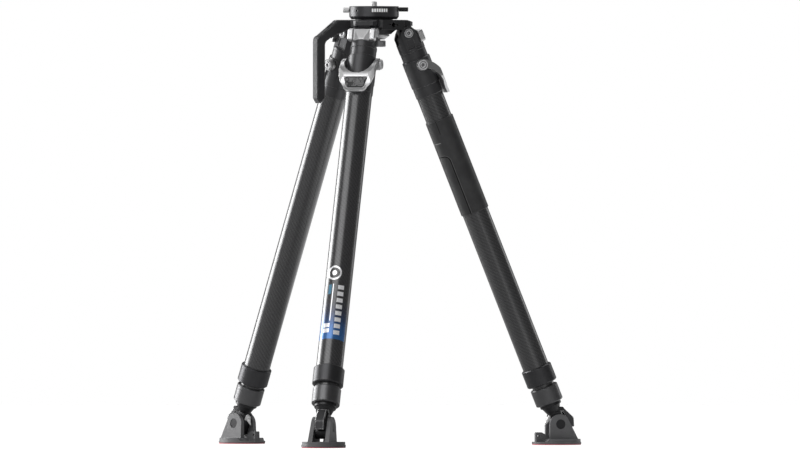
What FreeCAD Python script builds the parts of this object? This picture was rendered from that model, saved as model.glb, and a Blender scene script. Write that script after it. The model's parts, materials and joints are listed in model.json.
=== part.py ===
import FreeCAD, Part
import math
import os

# A three-stage video tripod, standing with its legs collapsed. Millimetres, +Z up.
# The floor is z = 0 and the origin is the middle of the footprint's box.
# Each leg is built hanging straight down from its hinge at the origin: +X points away
# from the head, +Y across the leg, and a "station" is a distance below the hinge.
# Each foot is built upright with its pivot at the origin, in the same directions.

V = FreeCAD.Vector
AXIS_X, AXIS_Y, AXIS_Z = V(1, 0, 0), V(0, 1, 0), V(0, 0, 1)

# Stance
LEG_AZIMUTHS = {"front": -90.0, "right": 30.0, "left": 150.0}
LEG_TILT = 22.0
HINGE_RADIUS = 52.3
HINGE_Z = 659.8
PIVOT_STATION = 676.0
RUNNING = 0.05                # radial clearance of a pin or tube that turns or slides
GAP = 0.3                     # between faces of pieces that move past each other

# Head
DISC_R, DISC_LOW, DISC_TOP = 39.7, 682.2, 703.0
SCREW_R, SCREW_TOP, SCREW_RELIEF = 9.525 / 2, 711.0, 0.3
HUB_TOP, HUB_PLATE_LOW, HUB_LOW = 681.0, 669.0, 658.3
PAD_DISTANCE, PAD_HALF_WIDTH, PAD_LOW = 44.8, 25.0, 665.0
PAD_ROOT, PAD_ROOT_HALF_WIDTH = 30.0, 17.3
PAD_AZIMUTHS = {"right": -30.0, "back": 90.0, "handle": 210.0}
PAD_THREAD_R, PAD_THREAD_DEPTH = 4.0, 14.0
PAD_HOLE_Z = 673.0
LOCATOR_R, LOCATOR_DEPTH, LOCATOR_SPACING = 1.6, 6.0, 16.6
ARM_REACH, ARM_HALF_WIDTH, ARM_LOW = 60.0, 19.4, 671.6
TONGUE_R, TONGUE_HALF = 12.0, 9.0
FLANGE_R, FLANGE_LOW_R, FLANGE_LOW, FLANGE_TOP = 24.5, 17.0, 650.0, 658.0
KNOB_R, KNOB_LOW, KNOB_TOP = 18.6, 638.0, 648.2
SIDE_KNOB_R, SIDE_KNOB_OUT, SIDE_KNOB_Z, SIDE_KNOB_AZIMUTH = 4.1, 10.0, 696.9, 195.0
LOCK_BAR_R, LOCK_BAR_OUT, LOCK_BAR_Z, LOCK_BAR_AZIMUTH = 3.5, 15.0, 698.0, 15.0
LOCK_GROOVE_R = 0.9
SET_SCREW_R, SET_SCREW_Z = 1.9, 695.5
SET_SCREW_AZIMUTHS = (-120.0, 0.0, 120.0)

# Carry handle
HANDLE_OUTER, HANDLE_INNER, HANDLE_HALF_WIDTH, HANDLE_END_Z = 98.2, 84.0, 13.0, 547.7

# Leg: shoulder, lock and tubes
SHOULDER_R, CHEEK_HALF, YOKE_TOP_R = 21.35, 17.5, 11.2
SLOT_HALF, SLOT_FLOOR = TONGUE_HALF + GAP, 13.5
BOLT_R, BOLT_HEAD_R, BOLT_HEAD_HEIGHT = 4.0, 7.2, 3.5
UPPER_R, MIDDLE_R, LOWER_R, WALL = 21.35, 18.0, 14.7, 1.6
COLLAR_TOP, COLLAR_BOTTOM, COLLAR_R = 44.0, 89.0, 23.1
COLLAR_RING_R, COLLAR_RING_BOTTOM = 22.25, 106.0
LEVER_STATION, LEVER_HALF_WIDTH, LEVER_ARM_INSIDE = 54.7, 29.5, 24.0
LEVER_FACE, LEVER_TIP = 28.5, 112.5
UPPER_FERRULE_TOP, UPPER_FERRULE_BOTTOM, UPPER_FERRULE_R = 577.0, 606.0, 24.75
MIDDLE_FERRULE_TOP, MIDDLE_FERRULE_BOTTOM, MIDDLE_FERRULE_R = 611.0, 639.0, 22.5
LIP = 6.0                     # length of a ferrule's bearing lip
MIDDLE_TUBE_TOP, LOWER_TUBE_TOP = 150.0, 165.0
NECK_R, NECK_BOTTOM = 17.5, 644.5
SLEEVE_TOP, SLEEVE_BOTTOM, SLEEVE_R = 147.6, 307.3, 23.1

# Angle stop
STOP_HALF_WIDTH, STOP_HEIGHT, STOP_TOP_STATION = 23.0, 19.4, 1.0
STOP_BACK, STOP_FACE = 14.1, 23.0
GUIDE_PIN_R, GUIDE_PIN_SPREAD, GUIDE_PIN_STATION = 2.0, 13.4, 10.7

# Foot, measured from its pivot unless named otherwise
FOOT_HALF_LENGTH, FOOT_HALF_WIDTH, FOOT_CENTRE = 40.0, 35.0, -2.6
SOLE_THICKNESS, PLATE_STEP, PLATE_TOP = 1.6, 4.6, 9.4     # heights above the floor
EAR_INSIDE, EAR_OUTSIDE, EAR_TOP, EAR_DRAFT = 10.2, 16.6, 16.0, 0.05
ANKLE_HALF, ANKLE_WAIST_R, ANKLE_WAIST, ANKLE_REACH = 9.7, 11.0, 654.5, 19.5
PIN_R, PIN_CAP_R = 5.0, 7.8
LUG_HALF, LUG_HOLE_R, LUG_HOLE = 5.0, 1.75, (-33.8, 14.3)   # out, above the floor
LATCH_HALF, LATCH_PIVOT, LATCH_BOSS_R, LATCH_PIN_R = 7.15, (4.3, 25.5), 2.4, 1.2
SPIKE_R, SPIKE_ROOT, SPIKE_TIP = 3.7, (-10.0, 17.0), (-23.0, -3.5)
SPIKE_NUT_R, SPIKE_NUT_START, SPIKE_NUT_LENGTH = 5.4, 8.5, 4.5

TILT = math.radians(LEG_TILT)
FOOT_RADIUS = HINGE_RADIUS + PIVOT_STATION * math.sin(TILT)
FOOT_Z = HINGE_Z - PIVOT_STATION * math.cos(TILT)


def foot_reach(azimuth, direction):
    """How far a foot's oval base reaches from the head axis along a compass direction."""
    turn = math.radians(azimuth - direction)
    centre = (FOOT_RADIUS + FOOT_CENTRE) * math.cos(turn)
    return centre + math.hypot(FOOT_HALF_LENGTH * math.cos(turn), FOOT_HALF_WIDTH * math.sin(turn))


HEAD_Y = (foot_reach(LEG_AZIMUTHS["front"], -90.0) - foot_reach(LEG_AZIMUTHS["right"], 90.0)) / 2


# Shapes

def flat_face(start, steps, at):
    """A flat face. Each step is a point, for a line, or a (middle, end) pair, for an arc."""
    edges, here = [], start
    for step in steps:
        if isinstance(step[0], tuple):
            middle, end = step
            edges.append(Part.Arc(at(*here), at(*middle), at(*end)).toShape())
        else:
            end = step
            edges.append(Part.makeLine(at(*here), at(*end)))
        here = end
    if here != start:
        edges.append(Part.makeLine(at(*here), at(*start)))
    return Part.Face(Part.Wire(edges))


def across(start, steps, half_width):
    """An (x, z) outline, as thick as half_width to each side of y = 0."""
    face = flat_face(start, steps, lambda x, z: V(x, -half_width, z))
    return face.extrude(V(0, 2 * half_width, 0))


def facing(start, steps, near, far):
    """A (y, z) outline that runs from x = near to x = far."""
    face = flat_face(start, steps, lambda y, z: V(near, y, z))
    return face.extrude(V(far - near, 0, 0))


def upward(start, steps, low, high):
    """An (x, y) outline that runs from z = low to z = high."""
    face = flat_face(start, steps, lambda x, y: V(x, y, low))
    return face.extrude(V(0, 0, high - low))


def lathe(points):
    """A solid of revolution about Z from (radius, z) corners."""
    corners = [V(radius, 0, z) for radius, z in points]
    return Part.Face(Part.makePolygon(corners + corners[:1])).revolve(V(), AXIS_Z, 360)


def rod(radius, length, centre, axis):
    """A round bar centred on a point."""
    return Part.makeCylinder(radius, length, centre - axis * (length / 2), axis)


def box(low, high):
    return Part.makeBox(high[0] - low[0], high[1] - low[1], high[2] - low[2], V(*low))


def half_space(point, normal, size=80.0):
    """A large block whose one face holds the point and which lies on the normal's side."""
    block = Part.makeBox(size, size, size, V(-size / 2, -size / 2, 0))
    block.Placement = FreeCAD.Placement(point, FreeCAD.Rotation(AXIS_Z, normal))
    return block


def oval(half_length, half_width, low, high):
    """The foot's oval outline, from one height to another."""
    edge = Part.Ellipse(V(FOOT_CENTRE, 0, low), half_length, half_width).toShape()
    return Part.Face(Part.Wire([edge])).extrude(V(0, 0, high - low))


def hex_socket(radius, depth, mouth, inward):
    """The hexagonal recess in a bolt's head."""
    corners = [V(radius * math.cos(math.radians(60 * k)), radius * math.sin(math.radians(60 * k)), 0)
               for k in range(6)]
    face = Part.Face(Part.makePolygon(corners + corners[:1]))
    socket = face.extrude(V(0, 0, depth))
    socket.Placement = FreeCAD.Placement(mouth, FreeCAD.Rotation(AXIS_Z, inward))
    return socket


def stations(outer, inner, top, bottom, chamfer=0.0):
    """A hollow round section of a leg between two stations, with its outer edges broken."""
    return lathe([(inner, -top), (outer - chamfer, -top), (outer, -top - chamfer),
                  (outer, -bottom + chamfer), (outer - chamfer, -bottom), (inner, -bottom)]
                 if chamfer else
                 [(inner, -top), (outer, -top), (outer, -bottom), (inner, -bottom)])


# Places

def spread(shape, azimuth):
    """Turns a piece about the head axis and moves it to where the head stands."""
    turned = shape.copy()
    turned.rotate(V(), AXIS_Z, azimuth)
    turned.translate(V(0, HEAD_Y, 0))
    return turned


def on_leg(shape, azimuth):
    hung = shape.copy()
    hung.rotate(V(), AXIS_Y, -LEG_TILT)
    hung.translate(V(HINGE_RADIUS, 0, HINGE_Z))
    return spread(hung, azimuth)


def on_foot(shape, azimuth):
    stood = shape.copy()
    stood.translate(V(FOOT_RADIUS, 0, FOOT_Z))
    return spread(stood, azimuth)


def around(make, azimuths):
    """One compound of the same piece at several azimuths about the head axis."""
    return Part.makeCompound([spread(make, azimuth) for azimuth in azimuths])


# Head

def hub():
    sides = []
    for azimuth in sorted(PAD_AZIMUTHS.values()):
        turn = math.radians(azimuth)
        for side in (-1, 1):
            sides.append((PAD_DISTANCE * math.cos(turn) - side * PAD_HALF_WIDTH * math.sin(turn),
                          PAD_DISTANCE * math.sin(turn) + side * PAD_HALF_WIDTH * math.cos(turn)))
    body = upward(sides[0], sides[1:], HUB_PLATE_LOW, HUB_TOP)
    body = body.fuse(lathe([(0, HUB_PLATE_LOW + 1), (38, HUB_PLATE_LOW + 1), (38, HUB_PLATE_LOW - 1),
                            (27, HUB_LOW), (0, HUB_LOW)]))
    for azimuth in PAD_AZIMUTHS.values():
        pad = upward((PAD_ROOT, -PAD_ROOT_HALF_WIDTH), [
            (PAD_DISTANCE, -PAD_HALF_WIDTH), (PAD_DISTANCE, PAD_HALF_WIDTH),
            (PAD_ROOT, PAD_ROOT_HALF_WIDTH)], PAD_LOW, HUB_TOP)
        pad.rotate(V(), AXIS_Z, azimuth)
        body = body.fuse(pad)
    for azimuth in LEG_AZIMUTHS.values():
        arm = hub_arm()
        arm.rotate(V(), AXIS_Z, azimuth)
        body = body.fuse(arm)
    body = body.removeSplitter()
    for name, azimuth in PAD_AZIMUTHS.items():
        holes = pad_holes(name == "handle")
        holes.rotate(V(), AXIS_Z, azimuth)
        body = body.cut(holes)
    body = body.cut(Part.makeCylinder(SCREW_R + RUNNING, 60, V(0, 0, HUB_LOW - 20)))
    return spread(body, 0)


def hub_arm():
    """One arm over a hinge, with the tongue that the leg's yoke straddles."""
    arm = box((20, -ARM_HALF_WIDTH, ARM_LOW), (ARM_REACH, ARM_HALF_WIDTH, HUB_TOP))
    arm = arm.cut(half_space(V(ARM_REACH - 10, 0, HUB_TOP), V(0.3, 0, 1)))
    for side in (-1, 1):
        arm = arm.cut(half_space(V(ARM_REACH, side * (ARM_HALF_WIDTH - 5), ARM_LOW), V(1, side, 0)))
    reach = TONGUE_R * math.cos(math.radians(45))
    tongue = across((40.5, ARM_LOW + 1.5), [(40.5, HINGE_Z), (HINGE_RADIUS - reach, HINGE_Z - reach),
                                            (HINGE_RADIUS + reach, HINGE_Z + reach),
                                            (58, ARM_LOW + 1.5)], TONGUE_HALF)
    tongue = tongue.fuse(rod(TONGUE_R, 2 * TONGUE_HALF, V(HINGE_RADIUS, 0, HINGE_Z), AXIS_Y))
    bore = rod(BOLT_R, 3 * TONGUE_HALF, V(HINGE_RADIUS, 0, HINGE_Z), AXIS_Y)
    return arm.fuse(tongue).cut(bore)


def pad_holes(handle_side):
    """The threaded hole of an accessory face, and its two locating holes."""
    thread = Part.makeCylinder(PAD_THREAD_R, PAD_THREAD_DEPTH + 1,
                               V(PAD_DISTANCE - PAD_THREAD_DEPTH, 0, PAD_HOLE_Z), AXIS_X)
    if handle_side:
        return thread
    holes = [thread]
    for side in (-1, 1):
        holes.append(Part.makeCylinder(LOCATOR_R, LOCATOR_DEPTH + 1,
                                       V(PAD_DISTANCE - LOCATOR_DEPTH, side * LOCATOR_SPACING / 2,
                                         PAD_HOLE_Z), AXIS_X))
    return Part.makeCompound(holes)


def hinge_bolts():
    """A bolt through each yoke and tongue, with a head at both ends."""
    reach = CHEEK_HALF + 3 * RUNNING
    bolt = rod(BOLT_R, 2 * reach, V(HINGE_RADIUS, 0, HINGE_Z), AXIS_Y)
    for side in (-1, 1):
        head = Part.makeCylinder(BOLT_HEAD_R, BOLT_HEAD_HEIGHT, V(HINGE_RADIUS, side * reach, HINGE_Z),
                                 AXIS_Y * side)
        mouth = V(HINGE_RADIUS, side * (reach + BOLT_HEAD_HEIGHT), HINGE_Z)
        head = head.makeChamfer(0.8, [edge for edge in head.Edges if on_plane(edge, mouth.y)])
        bolt = bolt.fuse(head).cut(hex_socket(3.4, 2.4, mouth, AXIS_Y * -side))
    return around(bolt, LEG_AZIMUTHS.values())


def on_plane(edge, y):
    """True for an edge that lies wholly at one y."""
    bounds = edge.BoundBox
    return abs(bounds.YMin - y) < 0.01 and abs(bounds.YMax - y) < 0.01


def head_disc():
    disc = lathe([(SCREW_R + RUNNING, HUB_TOP), (30, HUB_TOP), (30, DISC_LOW), (DISC_R - 3.2, DISC_LOW),
                  (DISC_R, DISC_LOW + 4.3), (DISC_R, DISC_TOP - 0.8), (DISC_R - 0.8, DISC_TOP),
                  (SCREW_R + RUNNING, DISC_TOP)])
    for azimuth in SET_SCREW_AZIMUTHS:
        hole = Part.makeCylinder(SET_SCREW_R, 9, V(DISC_R - 8, 0, SET_SCREW_Z), AXIS_X)
        hole.rotate(V(), AXIS_Z, azimuth)
        disc = disc.cut(hole)
    for azimuth, height, radius, depth in ((SIDE_KNOB_AZIMUTH, SIDE_KNOB_Z, 2.5, 9),
                                           (LOCK_BAR_AZIMUTH, LOCK_BAR_Z, 2.2, 14)):
        hole = Part.makeCylinder(radius + RUNNING, depth + 1, V(DISC_R - depth, 0, height), AXIS_X)
        hole.rotate(V(), AXIS_Z, azimuth)
        disc = disc.cut(hole)
    return spread(disc, 0)


def disc_set_screws():
    screw = Part.makeCylinder(SET_SCREW_R, 5, V(DISC_R - 8, 0, SET_SCREW_Z), AXIS_X)
    screw = screw.cut(hex_socket(1.0, 2, V(DISC_R - 3, 0, SET_SCREW_Z), AXIS_X * -1))
    return around(screw, SET_SCREW_AZIMUTHS)


def camera_screw():
    """The camera screw, with a thinner shank down to the knob that clamps the head."""
    shank = SCREW_R - SCREW_RELIEF
    return spread(lathe([(0, KNOB_TOP - 4), (shank, KNOB_TOP - 4), (shank, DISC_TOP), (SCREW_R, DISC_TOP),
                         (SCREW_R, SCREW_TOP - 1), (SCREW_R - 1, SCREW_TOP), (0, SCREW_TOP)]), 0)


def tie_down_flange():
    bore = SCREW_R - SCREW_RELIEF
    return spread(lathe([(bore, KNOB_TOP), (10, KNOB_TOP), (10, FLANGE_LOW), (FLANGE_LOW_R, FLANGE_LOW),
                         (FLANGE_R, FLANGE_TOP - 2.4), (FLANGE_R, FLANGE_TOP - 0.6),
                         (FLANGE_R - 0.6, FLANGE_TOP), (bore, FLANGE_TOP)]), 0)


def tie_down_knob():
    knob = lathe([(0, KNOB_LOW), (KNOB_R - 1, KNOB_LOW), (KNOB_R, KNOB_LOW + 1), (KNOB_R, KNOB_TOP - 1),
                  (KNOB_R - 1, KNOB_TOP), (0, KNOB_TOP)])
    knob = knob.cut(Part.makeCylinder(SCREW_R - SCREW_RELIEF, 4, V(0, 0, KNOB_TOP - 4)))
    for k in range(12):
        flute = Part.makeCylinder(1.6, 20, V(KNOB_R + 0.7, 0, KNOB_LOW - 5))
        flute.rotate(V(), AXIS_Z, 30 * k)
        knob = knob.cut(flute)
    return spread(knob, 0)


def clamp_knob():
    """The knurled screw on the disc's side."""
    start = DISC_R + GAP
    knob = lathe([(0, start), (SIDE_KNOB_R - 0.6, start), (SIDE_KNOB_R, start + 0.6),
                  (SIDE_KNOB_R, DISC_R + SIDE_KNOB_OUT - 0.6), (SIDE_KNOB_R - 0.6, DISC_R + SIDE_KNOB_OUT),
                  (0, DISC_R + SIDE_KNOB_OUT)])
    for k in range(14):
        flute = Part.makeCylinder(0.5, 2 * SIDE_KNOB_OUT, V(SIDE_KNOB_R + 0.15, 0, start - 1))
        flute.rotate(V(), AXIS_Z, k * 360 / 14)
        knob = knob.cut(flute)
    knob = knob.fuse(Part.makeCylinder(2.5, 8.5, V(0, 0, start - 8.5)))
    return side_piece(knob, SIDE_KNOB_Z, SIDE_KNOB_AZIMUTH)


def lock_bar():
    """The safety pin on the disc's other side, with a groove along each flank."""
    start, end = DISC_R + GAP, DISC_R + LOCK_BAR_OUT
    bar = lathe([(0, start), (LOCK_BAR_R, start), (LOCK_BAR_R, end - 0.6),
                 (LOCK_BAR_R - 0.6, end), (0, end)])
    for side in (-1, 1):
        bar = bar.cut(Part.makeCylinder(LOCK_GROOVE_R, end, V(0, side * (LOCK_BAR_R + 0.1), start + 1.2)))
    bar = bar.fuse(Part.makeCylinder(2.2, 13, V(0, 0, start - 13)))
    return side_piece(bar, LOCK_BAR_Z, LOCK_BAR_AZIMUTH)


def side_piece(shape, height, azimuth):
    """Lays a piece turned about Z down so that it points out of the disc's side."""
    shape.rotate(V(), AXIS_Y, 90)
    shape.translate(V(0, 0, height))
    return spread(shape, azimuth)


def carry_handle():
    top, bend = HUB_TOP, 6.0
    handle = across((PAD_DISTANCE, top), [
        (60, top), ((63, top - 0.5), (65, top - 1.8)), (HANDLE_OUTER - bend, top - 25),
        ((HANDLE_OUTER - 1.2, top - 29), (HANDLE_OUTER, top - 34)), (HANDLE_OUTER, HANDLE_END_Z + 8.2),
        (HANDLE_OUTER - 4.5, HANDLE_END_Z), (HANDLE_OUTER - 7.0, HANDLE_END_Z),
        (HANDLE_INNER, HANDLE_END_Z + 7), (HANDLE_INNER, top - 41),
        ((HANDLE_INNER - 2, top - 35), (HANDLE_INNER - 7, top - 31)), (56, top - 20.5),
        (PAD_DISTANCE, top - 16)], HANDLE_HALF_WIDTH)
    rims = [edge for edge in handle.Edges
            if on_plane(edge, HANDLE_HALF_WIDTH) or on_plane(edge, -HANDLE_HALF_WIDTH)]
    rims = [edge for edge in rims if edge.BoundBox.XMin > PAD_DISTANCE + 1]
    handle = handle.makeChamfer(1.5, rims)
    screw_axis = V(PAD_DISTANCE - 1, 0, PAD_HOLE_Z)
    handle = handle.cut(Part.makeCylinder(PAD_THREAD_R + 0.5, 60, screw_axis, AXIS_X))
    handle = handle.cut(Part.makeCylinder(7.2, 60, V(62, 0, PAD_HOLE_Z), AXIS_X))
    return spread(handle, PAD_AZIMUTHS["handle"])


def handle_screw():
    start = PAD_DISTANCE - PAD_THREAD_DEPTH
    screw = Part.makeCylinder(PAD_THREAD_R, 62 - start, V(start, 0, PAD_HOLE_Z), AXIS_X)
    screw = screw.fuse(Part.makeCylinder(6.5, 6, V(62, 0, PAD_HOLE_Z), AXIS_X))
    screw = screw.cut(hex_socket(3.6, 3.5, V(68, 0, PAD_HOLE_Z), AXIS_X * -1))
    return spread(screw, PAD_AZIMUTHS["handle"])


# Leg pieces

def shoulder():
    """The yoke at the top of a leg, and the spigot that the upper tube slips over."""
    def on_top(angle):
        turn = math.radians(angle)
        return (YOKE_TOP_R * math.cos(turn), YOKE_TOP_R * math.sin(turn))
    yoke = across((-SHOULDER_R, -30), [
        (-SHOULDER_R, -6), on_top(140), (on_top(85), on_top(30)), (STOP_BACK - GAP, -1),
        (STOP_BACK - GAP, -STOP_TOP_STATION - STOP_HEIGHT - 2 * GAP),
        (SHOULDER_R, -STOP_TOP_STATION - STOP_HEIGHT - 2 * GAP), (SHOULDER_R, -30)], SHOULDER_R + 1)
    yoke = yoke.common(Part.makeCylinder(SHOULDER_R, 60, V(0, 0, -30)))
    for side in (-1, 1):
        flat = half_space(V(0, side * CHEEK_HALF, 0), V(0, side, 0))
        yoke = yoke.cut(flat.common(box((-30, -30, -26), (30, 30, 30))))
        low, high = sorted((side * (CHEEK_HALF - 0.8), side * (CHEEK_HALF + 1)))
        yoke = yoke.cut(box((-8, low, -24), (4, high, -10)))
        guide = Part.makeCylinder(GUIDE_PIN_R + RUNNING, 20,
                                  V(2, side * GUIDE_PIN_SPREAD, -GUIDE_PIN_STATION), AXIS_X)
        yoke = yoke.cut(guide)
    yoke = yoke.cut(box((-30, -SLOT_HALF, -SLOT_FLOOR), (30, SLOT_HALF, 30)))
    yoke = yoke.cut(rod(BOLT_R + RUNNING, 60, V(), AXIS_Y))
    spigot_r = UPPER_R - WALL
    socket = lathe([(0, -29), (20.5, -29), (20.5, -30.5), (20.9, -31), (20.9, -COLLAR_TOP),
                    (spigot_r, -COLLAR_TOP), (spigot_r, -78), (15, -78), (15, -36), (0, -36)])
    socket = socket.cut(rod(BOLT_R + RUNNING, 60, V(0, 0, -LEVER_STATION), AXIS_Y))
    return yoke.fuse(socket)


def lock_collar():
    collar = lathe([(UPPER_R, -COLLAR_TOP), (COLLAR_R - 0.8, -COLLAR_TOP), (COLLAR_R, -COLLAR_TOP - 0.8),
                    (COLLAR_R, -COLLAR_BOTTOM + 0.8), (COLLAR_R - 0.8, -COLLAR_BOTTOM),
                    (COLLAR_RING_R, -COLLAR_BOTTOM), (COLLAR_RING_R, -COLLAR_RING_BOTTOM + 0.6),
                    (COLLAR_RING_R - 0.6, -COLLAR_RING_BOTTOM), (UPPER_R, -COLLAR_RING_BOTTOM)])
    for side in (-1, 1):
        boss = Part.makeCylinder(8, LEVER_ARM_INSIDE - GAP - 17, V(0, side * 17, -LEVER_STATION),
                                 AXIS_Y * side)
        collar = collar.fuse(boss.cut(Part.makeCylinder(UPPER_R, 60, V(0, 0, -90))))
    return collar.cut(rod(BOLT_R + 1, 80, V(0, 0, -LEVER_STATION), AXIS_Y))


def upper_tube():
    tube = stations(UPPER_R, UPPER_R - WALL, COLLAR_TOP, UPPER_FERRULE_BOTTOM - LIP)
    return tube.cut(rod(BOLT_R + 1, 80, V(0, 0, -LEVER_STATION), AXIS_Y))


def lever_outline(inset):
    """The lever's outline from in front, as a (y, z) start and steps, drawn in by an inset."""
    half, tip = LEVER_HALF_WIDTH - inset, LEVER_TIP - inset
    right = [(half, -40), (half, -76), ((half - 3.0, -92), (half - 10.5, -104)),
             ((15, -tip + 2.2), (11, -tip))]
    left = [(-11, -tip), ((-15, -tip + 2.2), (-half + 10.5, -104)), ((-half + 3.0, -92), (-half, -76)),
            (-half, -40)]
    return right[0], right[1:] + left


def lock_lever():
    """The U-shaped lever that wraps the collar, with a curved handle plate below."""
    station = -LEVER_STATION
    side = across((0, station + 9), [
        ((6, station + 8.2), (12, station + 3)), ((24, -66), (LEVER_FACE, -86)),
        ((LEVER_FACE - 1.0, -100), (LEVER_FACE + 2.0, -LEVER_TIP)), (LEVER_FACE - 2.6, -LEVER_TIP),
        ((LEVER_FACE - 5.0, -101), (LEVER_FACE - 5.0, -90)), ((19, -76), (5, station - 7.5)),
        (0, station - 9), ((-9, station), (0, station + 9))], LEVER_HALF_WIDTH)
    start, steps = lever_outline(0)
    lever = side.common(facing(start, steps, -20, 40))
    crown = 90.0
    lever = lever.common(Part.makeCylinder(crown, 120, V(LEVER_FACE + 2.2 - crown, 0, -LEVER_TIP - 1)))
    lever = lever.cut(Part.makeCylinder(COLLAR_R + GAP, 100, V(0, 0, -LEVER_TIP - 5)))
    lever = lever.cut(box((-20, -LEVER_ARM_INSIDE, station - 13), (13, LEVER_ARM_INSIDE, -30)))
    arch, arch_bottom = LEVER_ARM_INSIDE, 80.0
    lever = lever.cut(facing((-arch, -30), [(-arch, -arch_bottom + arch),
                                            ((0, -arch_bottom), (arch, -arch_bottom + arch)),
                                            (arch, -30)], -20, 60))
    lever = lever.cut(facing((-20, -86.5), [(20, -86.5), (14.5, -105.5), (-14.5, -105.5)],
                             LEVER_FACE - 1.4, 60))
    return lever.cut(rod(BOLT_R, 80, V(0, 0, station), AXIS_Y))


def cam_shaft():
    """The lever's cross shaft: an eccentric in the middle and a bolt head at each end."""
    centre = V(0, 0, -LEVER_STATION)
    shaft = rod(BOLT_R, 2 * LEVER_HALF_WIDTH, centre, AXIS_Y)
    shaft = shaft.fuse(rod(7, 22, centre + V(0, 0, -1.5), AXIS_Y))
    for side in (-1, 1):
        head = Part.makeCylinder(8, 4, centre + AXIS_Y * side * LEVER_HALF_WIDTH, AXIS_Y * side)
        mouth = centre + AXIS_Y * side * (LEVER_HALF_WIDTH + 4)
        head = head.makeChamfer(1.0, [edge for edge in head.Edges if on_plane(edge, mouth.y)])
        shaft = shaft.fuse(head).cut(hex_socket(3.4, 2.6, mouth, AXIS_Y * -side))
    return shaft


def angle_stop():
    """The sprung tab that the leg's spread rests on, with its two guide pins."""
    top, low = -STOP_TOP_STATION, -STOP_TOP_STATION - STOP_HEIGHT
    middle, shy = (top + low) / 2, STOP_FACE - 6
    tab = across((STOP_BACK, top), [(shy, top), ((STOP_FACE - 1.0, top - 4), (STOP_FACE, middle)),
                                    ((STOP_FACE - 1.0, low + 4), (shy, low)), (STOP_BACK, low)],
                 STOP_HALF_WIDTH)
    corner, half = 3.5, STOP_HALF_WIDTH
    bend = corner * (1 - math.cos(math.radians(45)))
    tab = tab.common(facing((-half + corner, top), [
        (half - corner, top), ((half - bend, top - bend), (half, top - corner)), (half, low + corner),
        ((half - bend, low + bend), (half - corner, low)), (-half + corner, low),
        ((-half + bend, low + bend), (-half, low + corner)), (-half, top - corner),
        ((-half + bend, top - bend), (-half + corner, top))], 0, 40))
    for side in (-1, 1):
        tab = tab.cut(half_space(V(STOP_FACE - 0.4, side * 13, middle), V(1, side * 0.32, -0.22)))
        tab = tab.fuse(Part.makeCylinder(GUIDE_PIN_R, 8, V(STOP_BACK - 7, side * GUIDE_PIN_SPREAD,
                                                           -GUIDE_PIN_STATION), AXIS_X))
    return tab


def upper_ferrule():
    chamfer = 1.6
    return lathe([(UPPER_R, -UPPER_FERRULE_TOP), (UPPER_FERRULE_R - chamfer, -UPPER_FERRULE_TOP),
                  (UPPER_FERRULE_R, -UPPER_FERRULE_TOP - chamfer),
                  (UPPER_FERRULE_R, -UPPER_FERRULE_BOTTOM + chamfer),
                  (UPPER_FERRULE_R - chamfer, -UPPER_FERRULE_BOTTOM),
                  (MIDDLE_R + RUNNING, -UPPER_FERRULE_BOTTOM),
                  (MIDDLE_R + RUNNING, -UPPER_FERRULE_BOTTOM + LIP), (UPPER_R, -UPPER_FERRULE_BOTTOM + LIP)])


def middle_tube():
    return stations(MIDDLE_R, MIDDLE_R - WALL, MIDDLE_TUBE_TOP, MIDDLE_FERRULE_BOTTOM - LIP)


def middle_ferrule():
    chamfer = 1.4
    return lathe([(MIDDLE_R, -MIDDLE_FERRULE_TOP), (MIDDLE_FERRULE_R - chamfer, -MIDDLE_FERRULE_TOP),
                  (MIDDLE_FERRULE_R, -MIDDLE_FERRULE_TOP - chamfer),
                  (MIDDLE_FERRULE_R, -MIDDLE_FERRULE_BOTTOM + chamfer),
                  (MIDDLE_FERRULE_R - chamfer, -MIDDLE_FERRULE_BOTTOM),
                  (LOWER_R + RUNNING, -MIDDLE_FERRULE_BOTTOM),
                  (LOWER_R + RUNNING, -MIDDLE_FERRULE_BOTTOM + LIP),
                  (MIDDLE_R, -MIDDLE_FERRULE_BOTTOM + LIP)])


def lower_tube():
    return stations(LOWER_R, LOWER_R - WALL, LOWER_TUBE_TOP, NECK_BOTTOM - 2)


def ankle():
    """The end fitting: a plug in the lower tube, a neck ring, a cone and the pivot block."""
    start = MIDDLE_FERRULE_BOTTOM + GAP
    body = lathe([(0, -612), (LOWER_R - WALL, -612), (LOWER_R - WALL, -NECK_BOTTOM + 2),
                  (LOWER_R, -NECK_BOTTOM + 2), (LOWER_R, -start), (NECK_R, -start),
                  (NECK_R, -NECK_BOTTOM + 0.6), (NECK_R - 0.6, -NECK_BOTTOM), (15.4, -NECK_BOTTOM),
                  (ANKLE_WAIST_R, -ANKLE_WAIST), (ANKLE_HALF, -ANKLE_WAIST), (ANKLE_HALF, -662), (0, -662)])
    side, low = -PIVOT_STATION - 8, -PIVOT_STATION - ANKLE_REACH
    body = body.fuse(across((-9.5, -656), [
        (9.5, -656), (10.5, -PIVOT_STATION), (10.5, side), ((8.2, low + 3.5), (0, low)),
        ((-8.2, low + 3.5), (-10.5, side)), (-10.5, -PIVOT_STATION)], ANKLE_HALF))
    eye, eye_r = beside_pivot(LATCH_PIVOT), LATCH_BOSS_R + 0.2
    room = rod(LATCH_BOSS_R + 3 * GAP, 2 * (LATCH_HALF + GAP), eye, AXIS_Y)
    body = body.cut(room)
    for side in (-1, 1):
        low, high = sorted((side * (LATCH_HALF + GAP), side * (ANKLE_HALF + 0.3)))
        body = body.fuse(box((6, low, eye.z - eye_r), (eye.x, high, eye.z + eye_r)))
        body = body.fuse(Part.makeCylinder(eye_r, high - low, V(eye.x, low, eye.z), AXIS_Y))
    body = body.fuse(rod(LATCH_PIN_R, 2 * ANKLE_HALF, eye, AXIS_Y))
    body = body.cut(rod(PIN_R + RUNNING, 60, V(0, 0, -PIVOT_STATION), AXIS_Y))
    return body.cut(spike())


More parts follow.
